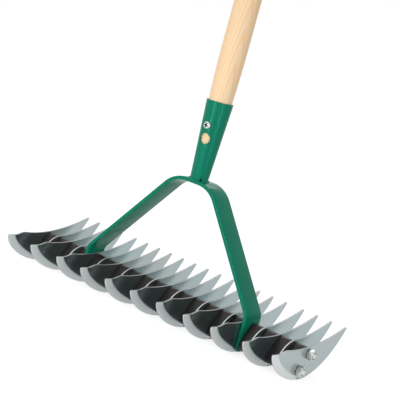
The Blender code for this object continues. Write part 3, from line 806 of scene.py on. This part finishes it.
def pole():
    """Turn the handle from its tapered foot to its domed top."""
    def seat(height):
        return socket_radius(height) - SOCKET_WALL - SOCKET_GAP

    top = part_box("handle")[1].z - CROWN.z
    taper_end = SOCKET_HEIGHT + HANDLE_TAPER_LENGTH
    rim = seat(SOCKET_HEIGHT)
    taper = bezier((rim, SOCKET_HEIGHT), (rim + 0.0006, SOCKET_HEIGHT + 0.0150),
                   (HANDLE_RADIUS, taper_end - 0.0250), (HANDLE_RADIUS, taper_end), 16)
    shoulder = top - HANDLE_DOME_HEIGHT
    dome = [(HANDLE_RADIUS * math.cos(a), shoulder + HANDLE_DOME_HEIGHT * math.sin(a))
            for a in quarter_turn(14)[:-1]]
    foot_side = HANDLE_END + HANDLE_FOOT_CHAMFER
    foot = [(0, HANDLE_END), (seat(HANDLE_END) - HANDLE_FOOT_CHAMFER, HANDLE_END),
            (seat(foot_side), foot_side)]
    bm = turned(foot + taper + dome + [(0, top)], HANDLE_SIDES)
    bmesh.ops.translate(bm, verts=bm.verts, vec=CROWN_TOP)
    return bm


def streaks(tree, place, across, along, detail):
    """Noise drawn out along the pole."""
    drawn_out = node(tree, "Mapping", {"Vector": place, "Scale": (across, across, along)}).outputs[0]
    return noise(tree, drawn_out, 1.0, detail)


def pale_pine():
    """Growth rings about a leaning pith beside the pole, so that they surface as lines and pointed arches."""
    made = bpy.data.materials.new("Pale pine")
    made.use_nodes = True
    tree = made.node_tree
    shader = tree.nodes["Principled BSDF"]
    place = node(tree, "TexCoord").outputs["Object"]
    turned_round = node(tree, "Mapping", {"Vector": place, "Rotation": (0, 0, PITH_TURN)}).outputs[0]
    from_axis, sideways, along = node(tree, "SeparateXYZ", {0: turned_round}).outputs
    up_the_lean = maths(tree, "MULTIPLY", maths(tree, "SUBTRACT", along, PITH_LEAN_START), PITH_LEAN_RATE)
    lean = maths(tree, "MULTIPLY", maths(tree, "SINE", up_the_lean), PITH_LEAN)
    wander = maths(tree, "MULTIPLY", streaks(tree, place, 25, 3, 2.0), PITH_WANDER)
    far_side = maths(tree, "ADD", from_axis, PITH_DISTANCE)
    from_pith = maths(tree, "SUBTRACT", far_side, maths(tree, "ADD", lean, wander))
    side_squared = maths(tree, "MULTIPLY", sideways, sideways)
    square = maths(tree, "ADD", maths(tree, "MULTIPLY", from_pith, from_pith), side_squared)
    pointed = maths(tree, "SQRT", maths(tree, "ADD", side_squared, 1e-6))
    arch = maths(tree, "MULTIPLY", pointed, ARCH_SHARPNESS)
    radius = maths(tree, "SUBTRACT", maths(tree, "SQRT", square), arch)
    rings = maths(tree, "FRACT", maths(tree, "MULTIPLY", radius, RINGS_PER_METRE))
    late = node(tree, "ValToRGB", {"Fac": rings})
    late.color_ramp.elements[0].color = (0, 0, 0, 1)
    late.color_ramp.elements[1].position = 0.84
    late.color_ramp.elements[1].color = (1, 1, 1, 1)
    late.color_ramp.elements.new(0.50).color = (0.18, 0.18, 0.18, 1)
    late.color_ramp.elements.new(0.98).color = (0, 0, 0, 1)
    early = blended(tree, streaks(tree, place, 60, 9, 2.0), (0.950, 0.703, 0.441, 1),
                    (0.960, 0.752, 0.509, 1))
    late_share = maths(tree, "MULTIPLY", late.outputs["Color"], 0.85)
    ringed = blended(tree, late_share, early, (0.912, 0.558, 0.276, 1))
    fibre = streaks(tree, place, 900, 14, 3.0)
    colour = blended(tree, ranged(tree, fibre, 0.35, 0.75, 0.0, 0.18), ringed, (0.900, 0.600, 0.340, 1))
    tree.links.new(colour, shader.inputs["Base Color"])
    effect = node(tree, "Group", {"Vector": place, "Blotch scale": 30.0, "Grain scale": 600.0,
                                  "Low": 0.46, "High": 0.62}, node_tree=BLOTCH_AND_GRAIN)
    tree.links.new(effect.outputs["Roughness"], shader.inputs["Roughness"])
    relief = node(tree, "Bump", {"Height": fibre, "Strength": 0.5, "Distance": 0.00006})
    tree.links.new(relief.outputs["Normal"], shader.inputs["Normal"])
    shader.inputs["Specular IOR Level"].default_value = 0.25
    return made


show(pole(), "pine_pole", "handle", [pale_pine()])

# Socket screw
# A zinc-plated pan-head screw with a cross recess, driven through the socket's front wall, which pins the
# pole in the socket.
SCREW_HEAD_RADIUS = 0.0040
SCREW_HEAD_HEIGHT = 0.0024
SCREW_RIM_SHARE = 0.25
SCREW_SHANK_RADIUS = 0.0019
SCREW_NECK_RADIUS = SCREW_SHANK_RADIUS * 0.75
SCREW_ROOT_RADIUS = SCREW_SHANK_RADIUS * 0.72
SCREW_LENGTH = 0.0180
SCREW_THREAD_START = 0.0020
SCREW_THREAD_LENGTH = 0.0120
SCREW_THREAD_HALF_WIDTH = 0.0004
SCREW_THREAD_TURNS = 9
SCREW_SIDES = 48
RECESS_WIDTH = 0.0016
RECESS_REACH = 0.0023
RECESS_DEPTH = 0.0018
RECESS_ANGLE = 20
RECESS_MARGIN = 0.0001
RECESS_MARGIN_BELOW = 0.0003


def head_surface(rise):
    """Where the head's domed face lies along the screw, from its rim at zero to its crown at one."""
    return -SCREW_HEAD_HEIGHT * (SCREW_RIM_SHARE + (1 - SCREW_RIM_SHARE) * rise)


def screw():
    """A domed head, a threaded shank and its point along Z, with the cross cut into the head."""
    dome = [(SCREW_HEAD_RADIUS * math.sin(a), head_surface(math.cos(a))) for a in quarter_turn(12)[1:]]
    profile = [(0, -SCREW_HEAD_HEIGHT)] + dome + [(SCREW_HEAD_RADIUS, 0), (SCREW_NECK_RADIUS, 0)]
    for turn in range(SCREW_THREAD_TURNS):
        crest = SCREW_THREAD_START + (turn + 0.5) * SCREW_THREAD_LENGTH / SCREW_THREAD_TURNS
        profile += [(SCREW_ROOT_RADIUS, crest - SCREW_THREAD_HALF_WIDTH), (SCREW_SHANK_RADIUS, crest),
                    (SCREW_ROOT_RADIUS, crest + SCREW_THREAD_HALF_WIDTH)]
    bm = turned(profile + [(0, SCREW_LENGTH)], SCREW_SIDES)
    size = Matrix.Diagonal((2 * RECESS_REACH, RECESS_WIDTH, 2 * RECESS_DEPTH, 1))
    for degrees in (RECESS_ANGLE, RECESS_ANGLE + 90):
        wing = Matrix.Rotation(math.radians(degrees), 4, "Z") @ size
        slot = bmesh.new()
        bmesh.ops.create_cube(slot, size=1, matrix=Matrix.Translation((0, 0, -SCREW_HEAD_HEIGHT)) @ wing)
        bm = combined(bm, slot, "DIFFERENCE")
    # Faces down inside the cross take the second finish, the recess's painted shade.
    for face in bm.faces:
        centre = face.calc_center_median()
        reach = math.hypot(centre.x, centre.y)
        surface = head_surface(math.sqrt(max(1 - (reach / SCREW_HEAD_RADIUS) ** 2, 0.0)))
        deepest = min(surface + RECESS_DEPTH + RECESS_MARGIN_BELOW, -RECESS_MARGIN)
        sunk = surface + RECESS_MARGIN < centre.z < deepest
        face.material_index = int(sunk and reach < RECESS_REACH + RECESS_MARGIN)
    return bm


# The recess's near black is painted shade: the zinc in the cross is no darker, and the dark stands for the
# shadow down in it.
RECESS_PAINTED_SHADE = finish("Painted shade in the cross recess", (0.018, 0.018, 0.017), (0.032, 0.032, 0.030), 0.5, 0.6,
                metallic=0.0, bump=0.00001)
SCREW_ZINC = finish("Zinc plate on the screw", (0.50, 0.52, 0.51), (0.62, 0.63, 0.62), 0.28, 0.36,
                    metallic=1.0, bump=0.00001)
bm = screw()
bmesh.ops.rotate(bm, verts=bm.verts, cent=(0, 0, 0), matrix=z_turned_to(-across(SCREW_ANGLE)))
head_seat = across(SCREW_ANGLE) * (socket_radius(SCREW_HEIGHT) + SOCKET_GAP) + Vector((0, 0, SCREW_HEIGHT))
bmesh.ops.translate(bm, verts=bm.verts, vec=CROWN_TOP + head_seat)
show(bm, "cross_recess_screw", "socket_screw", [SCREW_ZINC, RECESS_PAINTED_SHADE], sharp_degrees=30)

# Studio
# A white floor that keeps the rake's soft shadow and gives a little light back, a white surround that the
# metal reflects, a soft lamp above in front and one behind, and two narrow softboxes that draw a band each
# down the socket. The right one is shaded to a beam, so that it spares the end blade.
FILL = 0.54
FLOOR_DROP = 0.0002
FLOOR_HALF_WIDTH = 12.0
FLOOR_GREY = 0.42
FLOOR_GLOW = 0.78
FLOOR_BOUNCE = 0.20


def seen_directly(tree, unseen, seen):
    """One strength for a ray that only carries light, and another from the camera, a mirror or glass."""
    path = node(tree, "LightPath").outputs
    reflected = maths(tree, "MAXIMUM", path["Is Glossy Ray"], path["Is Transmission Ray"])
    return ranged(tree, maths(tree, "MAXIMUM", path["Is Camera Ray"], reflected), 0.0, 1.0, unseen, seen)


world = bpy.data.worlds.new("White surround")
bpy.context.scene.world = world
world.use_nodes = True
surround = world.node_tree.nodes["Background"]
surround.inputs["Color"].default_value = (1, 1, 1, 1)
world.node_tree.links.new(seen_directly(world.node_tree, FILL, 1.0), surround.inputs["Strength"])

bm = bmesh.new()
bmesh.ops.create_grid(bm, x_segments=1, y_segments=1, size=FLOOR_HALF_WIDTH,
                      matrix=Matrix.Translation((0, 0, -FLOOR_DROP)))
floor_mesh = bpy.data.meshes.new("floor")
bm.to_mesh(floor_mesh)
bm.free()
floor = bpy.data.objects.new("floor", floor_mesh)
bpy.context.scene.collection.objects.link(floor)
white = bpy.data.materials.new("White floor")
white.use_nodes = True
tree = white.node_tree
tree.nodes.remove(tree.nodes["Principled BSDF"])
matt = node(tree, "BsdfDiffuse", {"Color": (FLOOR_GREY, FLOOR_GREY, FLOOR_GREY, 1)})
glow = node(tree, "Emission", {"Color": (1, 1, 1, 1),
                               "Strength": seen_directly(tree, FLOOR_BOUNCE, FLOOR_GLOW)})
both = node(tree, "AddShader", {0: matt.outputs[0], 1: glow.outputs[0]})
tree.links.new(both.outputs[0], tree.nodes["Material Output"].inputs["Surface"])
floor_mesh.materials.append(white)

for name, at, aim, width, height, beam, power in (
        ("overhead_lamp", (-1.1, -1.5, 2.0), (0, 0, 0.15), 1.3, 1.3, 180, 5.0),
        ("rear_lamp", (-1.0, 1.4, 1.8), (0, 0, 0.4), 1.3, 1.3, 180, 11.0),
        ("left_softbox", (-0.005, -0.62, 0.18), (0, 0, 0.18), 0.14, 0.26, 180, 1.60),
        ("right_softbox", (0.588, -0.197, 0.18), (0, 0, 0.26), 0.10, 0.24, 70, 0.104)):
    lamp_data = bpy.data.lights.new(name, "AREA")
    lamp_data.shape = "RECTANGLE"
    lamp_data.size = width
    lamp_data.size_y = height
    lamp_data.spread = math.radians(beam)
    lamp_data.energy = power
    lamp = bpy.data.objects.new(name, lamp_data)
    lamp.location = at
    lamp.rotation_euler = (Vector(aim) - Vector(at)).to_track_quat("-Z", "Y").to_euler()
    bpy.context.scene.collection.objects.link(lamp)

# Camera
# It stands to the right of the blades' blunt fronts, a little above the head and turned about its own axis,
# so that the handle leans as in the picture.
CAMERA_PLACE = (0.8308, -1.16556, 0.34722)
CAMERA_YAW = math.radians(35.18)
CAMERA_PITCH = math.radians(8.57)
CAMERA_ROLL = math.radians(15.36)
CAMERA_FOCAL = 122.82

forward = Vector((-math.sin(CAMERA_YAW) * math.cos(CAMERA_PITCH),
                  math.cos(CAMERA_YAW) * math.cos(CAMERA_PITCH),
                  -math.sin(CAMERA_PITCH)))
level_right = Vector((math.cos(CAMERA_YAW), math.sin(CAMERA_YAW), 0))
level_up = level_right.cross(forward)
right = level_right * math.cos(CAMERA_ROLL) + level_up * math.sin(CAMERA_ROLL)
up = level_up * math.cos(CAMERA_ROLL) - level_right * math.sin(CAMERA_ROLL)
lens = bpy.data.cameras.new("camera")
lens.lens = CAMERA_FOCAL
lens.sensor_width = 36.0
lens.clip_start = 0.05
lens.clip_end = 50.0
camera = bpy.data.objects.new("camera", lens)
camera.matrix_world = Matrix.Translation(CAMERA_PLACE) @ Matrix((right, up, -forward)).transposed().to_4x4()
bpy.context.scene.collection.objects.link(camera)
bpy.context.scene.camera = camera
bpy.context.scene.view_settings.view_transform = "Standard"
